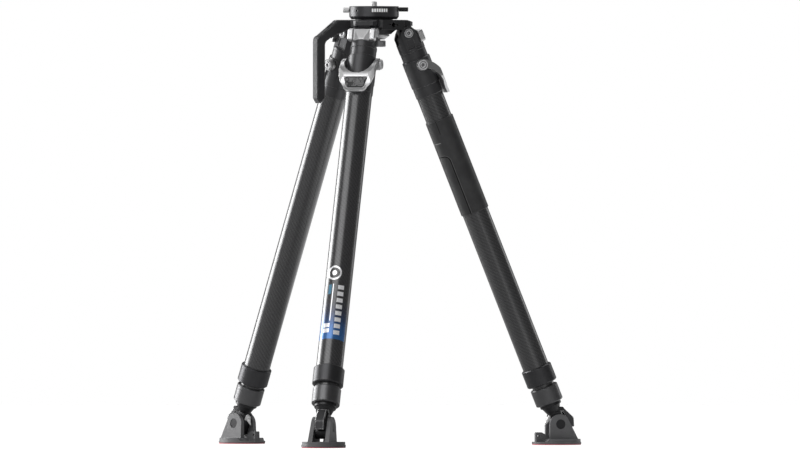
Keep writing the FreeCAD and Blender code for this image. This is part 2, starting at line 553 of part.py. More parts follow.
def beside_pivot(place):
    """A point given outward and up from the foot's pivot, as it lies on the hanging leg."""
    out, up = place
    return V(out * math.cos(TILT) + up * math.sin(TILT), 0,
             up * math.cos(TILT) - out * math.sin(TILT) - PIVOT_STATION)


def spike():
    """The stowed ground spike: a stud in the ankle's inner side, a hexagon and a point."""
    root, tip = beside_pivot(SPIKE_ROOT), beside_pivot(SPIKE_TIP)
    way = (tip - root).normalize()
    point_start = SPIKE_NUT_START + SPIKE_NUT_LENGTH
    stud = Part.makeCylinder(SPIKE_R, point_start, root, way)
    nut = hex_socket(SPIKE_NUT_R, SPIKE_NUT_LENGTH, root + way * SPIKE_NUT_START, way)
    point = Part.makeCone(SPIKE_R, 0.3, (tip - root).Length - point_start, root + way * point_start, way)
    return stud.fuse(nut).fuse(point)


def grip_sleeve():
    return stations(SLEEVE_R, UPPER_R, SLEEVE_TOP, SLEEVE_BOTTOM, 0.5)


# Foot pieces

def foot():
    floor = -FOOT_Z
    step, top = floor + PLATE_STEP, floor + PLATE_TOP
    plate = oval(FOOT_HALF_LENGTH, FOOT_HALF_WIDTH, floor + SOLE_THICKNESS, step)
    plate = plate.fuse(oval(FOOT_HALF_LENGTH - 1.0, FOOT_HALF_WIDTH - 1.0, step, top))
    plate = plate.cut(across((-60, step), [(-26, step), (-20.5, top + 1), (-60, top + 1)], 60))
    ears = across((-18, floor + 7), [(-17.6, 1), ((-12.4, 11.6), (-1, EAR_TOP)), ((7, 14.2), (12.4, 8.6)),
                                     (29.8, floor + 7)], EAR_OUTSIDE + 2)
    for side in (-1, 1):
        ears = ears.cut(half_space(V(0, side * EAR_OUTSIDE, 0), V(0, side, EAR_DRAFT)))
    ears = ears.cut(across((-60, top), [(60, top), (60, 60), (-60, 60)], EAR_INSIDE))
    lug = across((-38, floor + 4), [(-38, floor + 18.2), ((-37.5, floor + 19.5), (-36.2, floor + 20)),
                                    (-28.5, floor + 20), (-20, floor + 15), (-18, floor + 10),
                                    (-18, floor + 4)], LUG_HALF)
    lug = lug.cut(rod(LUG_HOLE_R, 30, V(LUG_HOLE[0], 0, floor + LUG_HOLE[1]), AXIS_Y))
    body = plate.fuse(ears).fuse(lug).removeSplitter()
    body = body.cut(rod(PIN_R, 60, V(), AXIS_Y))
    for side in (-1, 1):
        body = body.cut(Part.makeCylinder(PIN_CAP_R, 5, V(0, side * (EAR_OUTSIDE - 1.6), 0), AXIS_Y * side))
    return body


def foot_pin():
    pin = rod(PIN_R, 2 * (EAR_OUTSIDE - 1.6), V(), AXIS_Y)
    for side in (-1, 1):
        pin = pin.fuse(Part.makeCylinder(PIN_CAP_R, 1.0, V(0, side * (EAR_OUTSIDE - 1.6), 0), AXIS_Y * side))
    return pin


def sole():
    return oval(FOOT_HALF_LENGTH - 0.5, FOOT_HALF_WIDTH - 0.5, -FOOT_Z, -FOOT_Z + SOLE_THICKNESS)


def foot_latch():
    """The bent release plate on the ankle's outer side, with a flange along each edge."""
    out, up = LATCH_PIVOT
    plate = across((out + 0.8, up + 2.7), [(22.6, 12.2), (24.0, 9.8), (24.8, -2.8), (23.8, -4.0),
                                           (21.4, -4.0), (15.2, 1.5), (13.6, 6.2), (out + 1.0, up - 2.4),
                                           (out - 1.5, up)], LATCH_HALF)
    hollow = LATCH_HALF - 1.6
    plate = plate.cut(across((out + 2.4, up - 3.6), [(20.4, 11.4), (21.6, 9.2), (22.2, -6),
                                                     (8, -6), (8, 12)], hollow))
    plate = plate.fuse(rod(LATCH_BOSS_R, 2 * LATCH_HALF, V(out, 0, up), AXIS_Y))
    return plate.cut(rod(LATCH_PIN_R + RUNNING, 40, V(out, 0, up), AXIS_Y))


LEG_PIECES = {"shoulder": shoulder, "lock_collar": lock_collar, "upper_tube": upper_tube,
              "lock_lever": lock_lever, "cam_shaft": cam_shaft, "angle_stop": angle_stop,
              "upper_ferrule": upper_ferrule, "middle_tube": middle_tube,
              "middle_ferrule": middle_ferrule, "lower_tube": lower_tube, "ankle": ankle,
              "spike": spike}
FOOT_PIECES = {"foot_latch": foot_latch, "foot": foot, "foot_pin": foot_pin, "sole": sole}
HEAD_PIECES = {"hub": hub, "hinge_bolts": hinge_bolts, "head_disc": head_disc,
               "disc_set_screws": disc_set_screws, "camera_screw": camera_screw,
               "tie_down_flange": tie_down_flange, "tie_down_knob": tie_down_knob,
               "clamp_knob": clamp_knob, "lock_bar": lock_bar, "carry_handle": carry_handle,
               "handle_screw": handle_screw}


def assembly():
    """Every node's name and its shape where it stands."""
    nodes = {name: make() for name, make in HEAD_PIECES.items()}
    for pieces, place in ((LEG_PIECES, on_leg), (FOOT_PIECES, on_foot)):
        for name, make in pieces.items():
            piece = make()
            for leg, azimuth in LEG_AZIMUTHS.items():
                nodes[leg + "_" + name] = place(piece, azimuth)
    nodes["right_grip_sleeve"] = on_leg(grip_sleeve(), LEG_AZIMUTHS["right"])
    return nodes


def main():
    os.makedirs("parts", exist_ok=True)
    for name, shape in assembly().items():
        shape.exportStep("parts/" + name + ".step")
        print(name, shape.isValid(), len(shape.Solids), round(shape.Volume / 1000, 2), "cm3")


main()
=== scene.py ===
import json
import math
import bmesh
import bpy
from mathutils import Matrix, Vector, noise


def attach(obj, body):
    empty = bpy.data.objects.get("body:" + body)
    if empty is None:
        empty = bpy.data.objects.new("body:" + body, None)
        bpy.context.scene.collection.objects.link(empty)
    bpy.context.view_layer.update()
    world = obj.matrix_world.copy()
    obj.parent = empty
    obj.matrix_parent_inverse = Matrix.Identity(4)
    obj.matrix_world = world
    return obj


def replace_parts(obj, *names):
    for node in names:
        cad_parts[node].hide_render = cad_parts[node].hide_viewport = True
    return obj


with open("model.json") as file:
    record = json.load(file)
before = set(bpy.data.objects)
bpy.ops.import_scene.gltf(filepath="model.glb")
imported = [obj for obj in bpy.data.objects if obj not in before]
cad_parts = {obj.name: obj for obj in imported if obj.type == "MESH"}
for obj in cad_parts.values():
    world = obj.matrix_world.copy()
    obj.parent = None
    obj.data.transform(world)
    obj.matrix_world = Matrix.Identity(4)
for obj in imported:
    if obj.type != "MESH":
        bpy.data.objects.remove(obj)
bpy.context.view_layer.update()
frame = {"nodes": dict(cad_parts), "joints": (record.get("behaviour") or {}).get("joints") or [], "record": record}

# A collapsed carbon-fibre video tripod in a white studio. Metres, +Z up.
# Leg coordinates: origin at the leg's hinge, +X away from the head, +Y across, -Z down the leg.
# A station is a distance down a leg from its hinge, in mm.

MM = 0.001
DEGREES = 180 / math.pi
LEGS = ("front", "right", "left")
JOINTS = {joint["name"]: joint for joint in frame["joints"]}
MOUNTS = {mount["name"]: mount for mount in frame["record"]["mounts"]}
HEAD_AXIS = Vector(MOUNTS["camera_screw"]["pos_m"])

# The camera and the studio. Angles in degrees.
VIEW_AZIMUTH, VIEW_ELEVATION = 15.232, 0.05
VIEW_DISTANCE, VIEW_WIDTH = 28.6, 1.28091
VIEW_CENTRE_RIGHT, VIEW_CENTRE_HEIGHT = 0.04155, 0.3528
ROOM_LIGHT, FLOOR_CLEARNESS = 0.12, 0.6
# Name, bearing, distance, height, panel width and height, radiance, and the height it aims at.
LIGHTS = (("key_strip", -118, 1.7, 0.55, (0.95, 2.4), 9.5, 0.36),
          ("front_fill", -30, 2.4, 1.65, (2.2, 2.1), 3.0, 0.36),
          ("left_fill", -60, 2.6, 0.8, (0.9, 1.8), 0.4, 0.36),
          ("right_rim", 128, 1.9, 0.6, (0.5, 2.2), 1.6, 0.36),
          ("top", 170, 1.1, 2.3, (1.8, 1.2), 2.5, 0.6))

# Surface detail, in metres.
TUBE_R, TOW_WIDTH = 0.02135, 0.0017
TURNING_PITCH, DISC_TURNING_PITCH, BOLT_TURNING_PITCH, RIB_PITCH = 0.0011, 0.0007, 0.0006, 0.0016
# Radii of the ring and socket that bolt heads get as painted shade.
BOLT_RING, BOLT_SOCKET = (0.0048, 0.0060), (0.0009, 0.0026)
LEVER_CHEEK_Y, LEVER_LIP_X, LEVER_LIP_HALF = 0.0291, 0.0262, 0.0150
DISC_MARK_HEIGHTS, DISC_MARK_MIN_R = (0.6934, 0.6988), 0.0390

# Surface detail, in mm, or in degrees round an axis where the name says angle.
TUBE_MM_PER_DEGREE, SLEEVE_MM_PER_DEGREE = 0.3726, 0.403
PANEL_HALF, PANEL_TOP = 13.4, 216.0
PANEL_SEAM, PANEL_LIP = (9.3, 10.5), (10.9, 11.7)
SLIT_STATIONS, SLIT_HALF_ANGLE = (183.0, 184.2), 46.0
FLANK_ANGLES, FLANK_END = (57.0, 59.5), 170.0
# The lever's lip grooves, which its material darkens as painted shade.
LEVER_GROOVES = ((107.4, 108.1), (109.6, 110.1))
DISC_MARK_ANGLES, DISC_MARK_ANGLE_STEP = (-80.6, -41.4), 5.6

# Pieces, in mm.
LEVER_STATION = 54.7
PAD_STATIONS, PAD_SHAPE = (86.9, 105.1), (19.6, 14.2, 3.0)
PAD_BACK, PAD_RIM, PAD_LIFT, PAD_ROLL, PAD_RIDGE = 26.8, 27.05, 0.9, 1.2, 0.75
TAB_STATIONS, TAB_SHAPE = (1.0, 20.4), (23.0, 23.0, 3.5)
TAB_BACK, TAB_POST_FACE, TAB_POST_FROM, TAB_POST_TO = 14.1, 22.7, 12.8, 15.2
KEEL_FACE, KEEL_RISE, KEEL_HALF, KEEL_NARROWING, KEEL_SLOPE = 20.7, 1.7, 12.4, 9.6, 0.36
TAB_EDGE_DEPTH, TAB_EDGE_WIDTH = 1.8, 2.4
GUIDE_PIN_R, GUIDE_PIN_SPREAD, GUIDE_PIN_STATION = 2.0, 13.4, 10.7
GUIDE_PIN_LENGTH, GUIDE_PIN_INSET = 7, 1
THREAD_PITCH, THREAD_CREST, THREAD_ROOT, THREAD_SHARPNESS = 25.4 / 16, 4.7625, 3.95, 2.2
SCREW_FOOT, SHANK_TOP, THREAD_START, THREAD_END, SCREW_TOP = 644.2, 699.9, 700.0, 709.9, 711.0
SHANK_RELIEF, SCREW_CHAMFER, CHAMFER_SLOPE = 0.3, 0.6, 0.85


# Places

def axes_matrix(origin, x_axis, y_axis, z_axis):
    matrix = Matrix((x_axis, y_axis, z_axis)).transposed().to_4x4()
    matrix.translation = origin
    return matrix


def leg_matrix(leg):
    """From leg coordinates to the frame's."""
    hinge = JOINTS[leg + "_leg_swing"]
    out = Vector(JOINTS[leg + "_stop_pull"]["axis"])
    up = -Vector(JOINTS[leg + "_middle_slide"]["axis"])
    return axes_matrix(Vector(hinge["pos_m"]), out, up.cross(out), up)


def head_matrix():
    """From coordinates with their Z on the head's axis to the frame's."""
    return Matrix.Translation((HEAD_AXIS.x, HEAD_AXIS.y, 0))


# Materials

class Nodes:
    """Builds one material's node tree in short steps."""

    def __init__(self, name):
        self.material = bpy.data.materials.new(name)
        self.material.use_nodes = True
        self.tree = self.material.node_tree
        self.tree.nodes.clear()
        self.shader = self.tree.nodes.new("ShaderNodeBsdfPrincipled")
        output = self.tree.nodes.new("ShaderNodeOutputMaterial")
        self.tree.links.new(self.shader.outputs[0], output.inputs["Surface"])

    def node(self, kind, **settings):
        made = self.tree.nodes.new("ShaderNode" + kind)
        for key, value in settings.items():
            setattr(made, key, value)
        return made

    def put(self, socket, value):
        if isinstance(value, bpy.types.NodeSocket):
            self.tree.links.new(value, socket)
        elif value is not None:
            socket.default_value = value

    def math(self, operation, a, b=None):
        made = self.node("Math", operation=operation)
        for socket, value in zip(made.inputs, (a, b)):
            self.put(socket, value)
        return made.outputs[0]

    def chain(self, operation, result, *values):
        """One operation over several values, from left to right."""
        for value in values:
            result = self.math(operation, result, value)
        return result

    def times(self, *values):
        return self.chain("MULTIPLY", *values)

    def plus(self, *values):
        return self.chain("ADD", *values)

    def minus(self, a, b):
        return self.math("SUBTRACT", a, b)

    def largest(self, *values):
        return self.chain("MAXIMUM", *values)

    def above(self, value, threshold):
        return self.math("GREATER_THAN", value, threshold)

    def below(self, value, threshold):
        return self.math("LESS_THAN", value, threshold)

    def share(self, value, step):
        """How far value is through its present step, from zero to one."""
        return self.math("FRACT", self.math("DIVIDE", value, step))

    def wave(self, value, pitch):
        return self.math("SINE", self.times(value, 2 * math.pi / pitch))

    def radius(self, a, b):
        """How far a point is from an axis, from its two coordinates across it."""
        return self.math("SQRT", self.plus(self.times(a, a), self.times(b, b)))

    def ramp(self, value, low, high, start=0.0, end=1.0):
        """A smooth step from start to end as value goes from low to high."""
        made = self.node("MapRange", interpolation_type="SMOOTHSTEP")
        for key, number in (("Value", value), ("From Min", low), ("From Max", high),
                            ("To Min", start), ("To Max", end)):
            self.put(made.inputs[key], number)
        return made.outputs[0]

    def spread(self, grain, start=0.0, end=1.0):
        """A noise's usual range, stretched from start to end."""
        return self.ramp(grain, 0.3, 0.7, start, end)

    def within(self, value, span, soft):
        """One inside a span of value, zero outside it."""
        low, high = span
        rise = self.ramp(value, low - soft, low + soft)
        fall = self.ramp(value, high - soft, high + soft, 1.0, 0.0)
        return self.times(rise, fall)

    def mix(self, factor, a, b):
        made = self.node("Mix", data_type="RGBA")
        self.put(made.inputs[0], factor)
        self.put(made.inputs[6], a if isinstance(a, bpy.types.NodeSocket) else (*a, 1))
        self.put(made.inputs[7], b if isinstance(b, bpy.types.NodeSocket) else (*b, 1))
        return made.outputs[2]

    def blend(self, factor, a, b):
        """A number that goes from a to b."""
        made = self.node("Mix", data_type="FLOAT")
        for index, value in ((0, factor), (2, a), (3, b)):
            self.put(made.inputs[index], value)
        return made.outputs[0]

    def place(self, matrix=None):
        """The point in the frame's coordinates, or in those that a matrix leads from."""
        point = self.node("TexCoord").outputs["Object"]
        if matrix is None:
            return point
        inverse = matrix.inverted()
        mapping = self.node("Mapping")
        self.put(mapping.inputs["Vector"], point)
        mapping.inputs["Location"].default_value = inverse.translation
        mapping.inputs["Rotation"].default_value = inverse.to_euler()
        return mapping.outputs[0]

    def split(self, vector):
        made = self.node("SeparateXYZ")
        self.put(made.inputs[0], vector)
        return made.outputs

    def noise(self, vector, scale, detail=3.0):
        made = self.node("TexNoise")
        self.put(made.inputs["Vector"], vector)
        made.inputs["Scale"].default_value = scale
        made.inputs["Detail"].default_value = detail
        made.inputs["Roughness"].default_value = 0.55
        return made.outputs["Fac"]

    def edges(self, radius):
        """The rounded normal near sharp edges, and a mask that is one where it turns 37 degrees."""
        bevel = self.node("Bevel", samples=4)
        bevel.inputs["Radius"].default_value = radius
        true_normal = self.node("NewGeometry").outputs["Normal"]
        dot = self.node("VectorMath", operation="DOT_PRODUCT")
        self.put(dot.inputs[0], bevel.outputs[0])
        self.put(dot.inputs[1], true_normal)
        return bevel.outputs[0], self.ramp(dot.outputs["Value"], 0.97, 0.80)

    def bump(self, height, strength, distance, normal=None):
        made = self.node("Bump")
        made.inputs["Strength"].default_value = strength
        made.inputs["Distance"].default_value = distance
        self.put(made.inputs["Height"], height)
        self.put(made.inputs["Normal"], normal)
        return made.outputs[0]

    def finish(self, **sockets):
        for name, value in sockets.items():
            self.put(self.shader.inputs[name.replace("_", " ")], value)
        return self.material


def metal(name, dark, light, roughness, grain=900, wear_and_highlight=(0.5, 0.5, 0.5), wear_and_highlight_share=0.35,
          metallic=1.0, edge=0.0005, bump=0.15):
    """A bead-blasted or painted metal: fine grain, cloudy tone and lighter edges, part wear and part painted
    highlight.
    """
    n = Nodes(name)
    point = n.place()
    cloud = n.noise(point, 60)
    fine = n.noise(point, grain, 2)
    normal, rim = n.edges(edge)
    # Lighter edges: part wear, part painted highlight where the edges would catch the light.
    wear_and_painted_light = n.times(rim, n.ramp(n.noise(point, 220), 0.35, 0.7, 0.3 * wear_and_highlight_share, wear_and_highlight_share))
    colour = n.mix(wear_and_painted_light, n.mix(cloud, dark, light), wear_and_highlight)
    return n.finish(Base_Color=colour, Metallic=metallic,
                    Roughness=n.spread(fine, roughness - 0.05, roughness + 0.07),
                    Normal=n.bump(fine, bump, 0.00012, normal))


def turned_metal(name, matrix, dark, light, roughness, groove):
    """Metal with fine turning grooves round an axis."""
    n = Nodes(name)
    point = n.place(matrix)
    height = n.split(point)[2]
    fine = n.noise(point, 700, 2)
    normal, rim = n.edges(0.0005)
    tone = n.mix(n.noise(point, 70), dark, light)
    # Lighter edges: painted edge highlight.
    colour = n.mix(n.times(rim, 0.4), tone, (0.42, 0.42, 0.43))
    relief = n.plus(n.times(n.wave(height, TURNING_PITCH), 0.5), fine)
    return n.finish(Base_Color=colour, Metallic=0.85,
                    Roughness=n.spread(fine, roughness - 0.05, roughness + 0.08),
                    Normal=n.bump(relief, groove, 0.00015, normal))


def carbon(name, matrix, label=False):
    """Twill carbon weave under a satin coat, with a printed band on the labelled tube."""
    n = Nodes(name)
    point = n.place(matrix)
    x, y, z = n.split(point)
    turn = n.math("ARCTAN2", y, x)
    around = n.times(turn, TUBE_R / TOW_WIDTH)
    along = n.math("DIVIDE", z, TOW_WIDTH)
    step = n.plus(n.math("FLOOR", around), n.math("FLOOR", along))
    over = n.below(n.math("FRACT", n.times(step, 0.25)), 0.49)
    crown_around = n.math("SINE", n.times(n.math("FRACT", around), math.pi))
    crown_along = n.math("SINE", n.times(n.math("FRACT", along), math.pi))
    crown = n.blend(over, crown_around, crown_along)
    threads = n.noise(point, 2600, 1)
    weave = n.mix(over, (0.050, 0.050, 0.052), (0.070, 0.070, 0.072))
    weave = n.mix(n.ramp(crown, 0.1, 0.9, 0.4, 0.0), weave, (0.025, 0.025, 0.025))
    if label:
        weave = print_label(n, weave, n.times(turn, DEGREES), n.times(z, -1 / MM))
    return n.finish(Base_Color=weave, Roughness=n.spread(threads, 0.24, 0.34), Metallic=0.45,
                    Specular_IOR_Level=0.6, Coat_Weight=0.5, Coat_Roughness=0.22,
                    Normal=n.bump(crown, 0.12, 0.00008))


def print_label(n, base, degrees, station):
    """A blue band that fades in down the tube, with plain white marks and no lettering.
    Each patch is a span of degrees round the tube and a span of stations."""
    def patch(angles, stations, angle_soft=0.7, station_soft=0.3):
        return n.times(n.within(degrees, angles, angle_soft),
                       n.within(station, stations, station_soft))

    blue_share = n.times(n.ramp(station, 462, 520), n.within(degrees, (-76, 76), 0.6),
                         n.below(station, 533.5))
    blue = n.mix(n.ramp(station, 480, 533), (0.028, 0.045, 0.12), (0.035, 0.15, 0.40))
    painted = n.mix(blue_share, base, blue)
    chip = patch((-26, -12), (441, 457))
    painted = n.mix(chip, painted, (0.10, 0.28, 0.42))

    bars = n.times(n.within(n.share(station, 11.0), (0.16, 0.80), 0.02),
                   patch((16, 43), (441, 527), station_soft=0.2))
    line = patch((-6.5, -3.0), (440, 503), angle_soft=0.5)
    blocks = n.times(n.within(n.share(n.minus(station, 506), 9.0), (0.12, 0.88), 0.02),
                     patch((-32, -4), (506, 524), station_soft=0.2))
    across = n.times(n.plus(degrees, 6), TUBE_MM_PER_DEGREE)
    radius = n.radius(across, n.minus(station, 421))
    ring = n.within(radius, (9.2, 12.0), 0.15)
    dot = n.within(radius, (-1, 4.2), 0.15)
    return n.mix(n.largest(bars, line, blocks, ring, dot), painted, (0.98, 0.98, 1.0))


def plastic(name, dark, light, roughness, grain, bump):
    """Moulded plastic or rubber with a fine grain."""
    n = Nodes(name)
    point = n.place()
    normal, rim = n.edges(0.0006)
    tone = n.mix(n.spread(n.noise(point, 45)), dark, light)
    # Lighter edges: painted edge highlight.
    tone = n.mix(n.times(rim, 0.35), tone, (0.3, 0.3, 0.3))
    fine = n.noise(point, grain, 2)
    return n.finish(Base_Color=tone, Roughness=n.spread(fine, roughness - 0.05, roughness + 0.08),
                    Normal=n.bump(fine, bump, 0.0002, normal))


def ribbed_rubber(name, matrix):
    """Fine ribs round the sleeve, an inner panel with a rounded seam and a slit above it."""
    n = Nodes(name)
    point = n.place(matrix)
    x, y, z = n.split(point)
    station = n.times(z, -1 / MM)
    degrees = n.times(n.math("ARCTAN2", y, x), DEGREES)
    from_inside = n.minus(180.0, n.math("ABSOLUTE", degrees))
    side = n.largest(n.minus(n.times(from_inside, SLEEVE_MM_PER_DEGREE), PANEL_HALF), 0.0)
    above = n.largest(n.minus(PANEL_TOP, station), 0.0)
    out = n.radius(side, above)
    seam = n.within(out, PANEL_SEAM, 0.3)
    lip = n.within(out, PANEL_LIP, 0.3)
    slit = n.times(n.within(station, SLIT_STATIONS, 0.3), n.below(from_inside, SLIT_HALF_ANGLE))
    flank = n.times(n.within(from_inside, FLANK_ANGLES, 0.5), n.below(station, FLANK_END))
    dark = n.largest(seam, n.times(flank, 0.7))
    light = n.largest(n.times(lip, 0.35), slit)
    fine = n.noise(point, 900, 2)
    relief = n.plus(n.times(n.wave(z, RIB_PITCH), 0.25), fine)
    relief = n.minus(relief, n.times(dark, 3.0))
    normal, rim = n.edges(0.0010)
    tone = n.mix(n.spread(n.noise(point, 40)), (0.018, 0.018, 0.019), (0.030, 0.030, 0.031))
    # Lighter edges: painted edge highlight.
    tone = n.mix(n.times(rim, 0.3), tone, (0.4, 0.4, 0.4))
    tone = n.mix(light, tone, (0.22, 0.22, 0.22))
    tone = n.mix(dark, tone, (0.001, 0.001, 0.001))
    return n.finish(Base_Color=tone, Roughness=n.spread(fine, 0.42, 0.55),
                    Specular_IOR_Level=n.minus(0.5, n.times(dark, 0.5)),
                    Normal=n.bump(relief, 0.35, 0.0002, normal))


def pad_rubber():
    """Dark grey rubber, lighter on its ridge tops, with painted shade in its grooves. Its pieces stand in leg
    coordinates.
    """
    n = Nodes("pad_rubber")
    point = n.place()
    face = PAD_RIM + PAD_LIFT
    # Ridge tops lighter, grooves near-black: the dark in the grooves is painted shade.
    wear_and_painted_light = n.ramp(n.split(point)[0], (face + 0.15) * MM, (face + PAD_RIDGE) * MM)
    tone = n.mix(wear_and_painted_light, (0.016, 0.016, 0.017), (0.150, 0.150, 0.152))
    fine = n.noise(point, 1600, 2)
    return n.finish(Base_Color=tone, Roughness=n.spread(fine, 0.42, 0.55),
                    Normal=n.bump(fine, 0.25, 0.0002))


def bolt_steel(name, places):
    """Bright steel with a turned face on each head, and a dark ring and socket on it as painted shade. A place's Y
    is a bolt's axis.
    """
    n = Nodes(name)
    radii = []
    for matrix in places:
        x, _, z = n.split(n.place(matrix))
        radii.append(n.radius(x, z))
    radius = n.chain("MINIMUM", *radii)
    point = n.place()
    # The ring and socket are darkened: painted shade of the head's recesses.
    groove = n.largest(n.within(radius, BOLT_RING, 0.0002), n.within(radius, BOLT_SOCKET, 0.0002))
    tone = n.mix(n.noise(point, 240), (0.46, 0.46, 0.47), (0.62, 0.62, 0.63))
    colour = n.mix(n.times(groove, 0.85), tone, (0.015, 0.015, 0.016))
    height = n.minus(n.times(n.wave(radius, BOLT_TURNING_PITCH), 0.15), n.times(groove, 2.0))
    normal, _ = n.edges(0.0005)
    return n.finish(Base_Color=colour, Metallic=0.3,
                    Roughness=n.spread(n.noise(point, 500), 0.3, 0.42),
                    Normal=n.bump(height, 0.5, 0.0003, normal))


def lever_metal(name, matrix):
    """Satin silver, darker on the cheeks, with two fine grooves across the lever's lip that are darkened as
    painted shade.
    """
    n = Nodes(name)
    point = n.place(matrix)
    x, y, z = n.split(point)
    station = n.times(z, -1 / MM)
    groove = n.times(n.plus(*(n.within(station, stations, 0.12) for stations in LEVER_GROOVES)),
                     n.within(y, (-LEVER_LIP_HALF, LEVER_LIP_HALF), 0.0006),
                     n.above(x, LEVER_LIP_X))
    cheek = n.above(n.math("ABSOLUTE", y), LEVER_CHEEK_Y)
    cloud = n.noise(point, 55)
    fine = n.noise(point, 1300, 2)
    normal, rim = n.edges(0.0009)
    tone = n.mix(cloud, (0.54, 0.54, 0.545), (0.64, 0.64, 0.645))
    tone = n.mix(n.times(cheek, 0.75), tone, (0.12, 0.12, 0.12))
    # Lighter edges: painted edge highlight.
    tone = n.mix(n.times(rim, 0.5), tone, (0.9, 0.9, 0.9))
    # Painted shade: the lip grooves are darkened.
    tone = n.mix(n.times(groove, 0.8), tone, (0.08, 0.08, 0.08))
    height = n.minus(n.times(fine, 0.3), n.times(groove, 2.0))
    return n.finish(Base_Color=tone, Metallic=0.9, Roughness=n.spread(fine, 0.32, 0.42),
                    Normal=n.bump(height, 0.4, 0.0002, normal))


def disc_metal(name, matrix):
    """Black anodising with fine turning marks and a generic row of light blocks on the front."""
    n = Nodes(name)
    x, y, z = n.split(n.place(matrix))
    degrees = n.times(n.math("ARCTAN2", y, x), DEGREES)
    share = n.share(n.minus(degrees, DISC_MARK_ANGLES[0]), DISC_MARK_ANGLE_STEP)
    marks = n.times(n.within(share, (0.14, 0.86), 0.02),
                    n.within(degrees, DISC_MARK_ANGLES, 0.1),
                    n.within(z, DISC_MARK_HEIGHTS, 0.00012),
                    n.above(n.radius(x, y), DISC_MARK_MIN_R))
    point = n.place()
    fine = n.noise(point, 900, 2)
    normal, rim = n.edges(0.0006)
    tone = n.mix(n.noise(point, 60), (0.030, 0.030, 0.032), (0.050, 0.050, 0.053))
    # Lighter edges: painted edge highlight.
    tone = n.mix(n.times(rim, 0.45), tone, (0.4, 0.4, 0.41))
    tone = n.mix(marks, tone, (0.85, 0.85, 0.85))
    height = n.plus(fine, n.times(n.wave(z, DISC_TURNING_PITCH), 0.2))
    return n.finish(Base_Color=tone, Metallic=n.times(n.minus(1.0, marks), 0.6),
                    Roughness=n.spread(fine, 0.30, 0.42),
                    Normal=n.bump(height, 0.15, 0.00012, normal))


# The edge colours below lighten each metal's edges: part wear, part painted edge highlight.
BLACK = metal("black_anodising", (0.052, 0.052, 0.054), (0.070, 0.070, 0.073), 0.36,
              wear_and_highlight=(0.7, 0.7, 0.7), wear_and_highlight_share=0.7, metallic=0.6)
BLACK_DEEP = metal("black_fittings", (0.012, 0.012, 0.013), (0.022, 0.022, 0.024), 0.36,
                   metallic=0.4)
SILVER = metal("silver_anodising", (0.50, 0.50, 0.505), (0.58, 0.58, 0.585), 0.36,
               wear_and_highlight=(0.8, 0.8, 0.8), metallic=0.9, edge=0.0010, bump=0.08)
DARK_STEEL = metal("dark_steel", (0.03, 0.03, 0.032), (0.05, 0.05, 0.055), 0.35)
GREY_METAL = metal("grey_anodising", (0.30, 0.30, 0.31), (0.36, 0.36, 0.37), 0.38, metallic=0.4)
BRIGHT_STEEL = metal("machined_steel", (0.70, 0.70, 0.70), (0.84, 0.84, 0.84), 0.28,
                     wear_and_highlight=(0.95, 0.95, 0.95), metallic=0.2, bump=0.05)
HANDLE = metal("handle_paint", (0.020, 0.020, 0.022), (0.034, 0.034, 0.036), 0.38, grain=1500,
               metallic=0.3, wear_and_highlight=(0.6, 0.6, 0.6), wear_and_highlight_share=0.5, edge=0.0022, bump=0.3)
LATCH = metal("latch_paint", (0.040, 0.040, 0.042), (0.060, 0.060, 0.063), 0.34,
              wear_and_highlight=(1.0, 1.0, 1.0), wear_and_highlight_share=2.0, metallic=0.3, edge=0.0022)
GREY_PLASTIC = plastic("grey_plastic", (0.105, 0.105, 0.108), (0.13, 0.13, 0.134), 0.48, 1100, 0.35)
PAD_RUBBER = pad_rubber()
RED = plastic("red_rubber", (0.42, 0.02, 0.045), (0.55, 0.03, 0.06), 0.6, 900, 0.3)

HEAD_FINISH = {"hub": BLACK_DEEP, "disc_set_screws": DARK_STEEL, "tie_down_flange": SILVER,
               "tie_down_knob": GREY_METAL, "clamp_knob": BRIGHT_STEEL, "lock_bar": BLACK_DEEP,
               "carry_handle": HANDLE, "handle_screw": DARK_STEEL}
LEG_FINISH = {"shoulder": BLACK, "lock_collar": BLACK, "ankle": BLACK_DEEP,
              "spike": BRIGHT_STEEL, "foot_latch": LATCH, "foot": GREY_PLASTIC,
              "foot_pin": BLACK_DEEP, "sole": RED}


def paint(node, material):
    slots = frame["nodes"][node].data.materials
    slots.clear()
    slots.append(material)


def finish_leg(leg):
    matrix = leg_matrix(leg)
    for piece, material in LEG_FINISH.items():
        paint(leg + "_" + piece, material)
    paint(leg + "_lock_lever", lever_metal(leg + "_lever_silver", matrix))
    cam = matrix @ Matrix.Translation((0, 0, -LEVER_STATION * MM))
    paint(leg + "_cam_shaft", bolt_steel(leg + "_cam_steel", [cam]))
    tube = carbon(leg + "_carbon", matrix)
    outer = carbon("front_printed_carbon", matrix, label=True) if leg == "front" else tube
    paint(leg + "_upper_tube", outer)
    for piece in ("middle_tube", "lower_tube"):
        paint(leg + "_" + piece, tube)
    paint(leg + "_upper_ferrule", turned_metal(leg + "_turned_black", matrix, (0.050, 0.050, 0.053),
                                               (0.068, 0.068, 0.071), 0.38, 0.25))
    paint(leg + "_middle_ferrule", turned_metal(leg + "_turned_grey", matrix, (0.100, 0.100, 0.103),
                                                (0.125, 0.125, 0.128), 0.36, 0.3))


def finish_cad_nodes():
    for node, material in HEAD_FINISH.items():
        paint(node, material)
    paint("head_disc", disc_metal("disc_anodising", head_matrix()))
    paint("hinge_bolts", bolt_steel("hinge_steel", [leg_matrix(leg) for leg in LEGS]))
    for leg in LEGS:
        finish_leg(leg)
    paint("right_grip_sleeve", ribbed_rubber("grip_rubber", leg_matrix("right")))


# Pieces

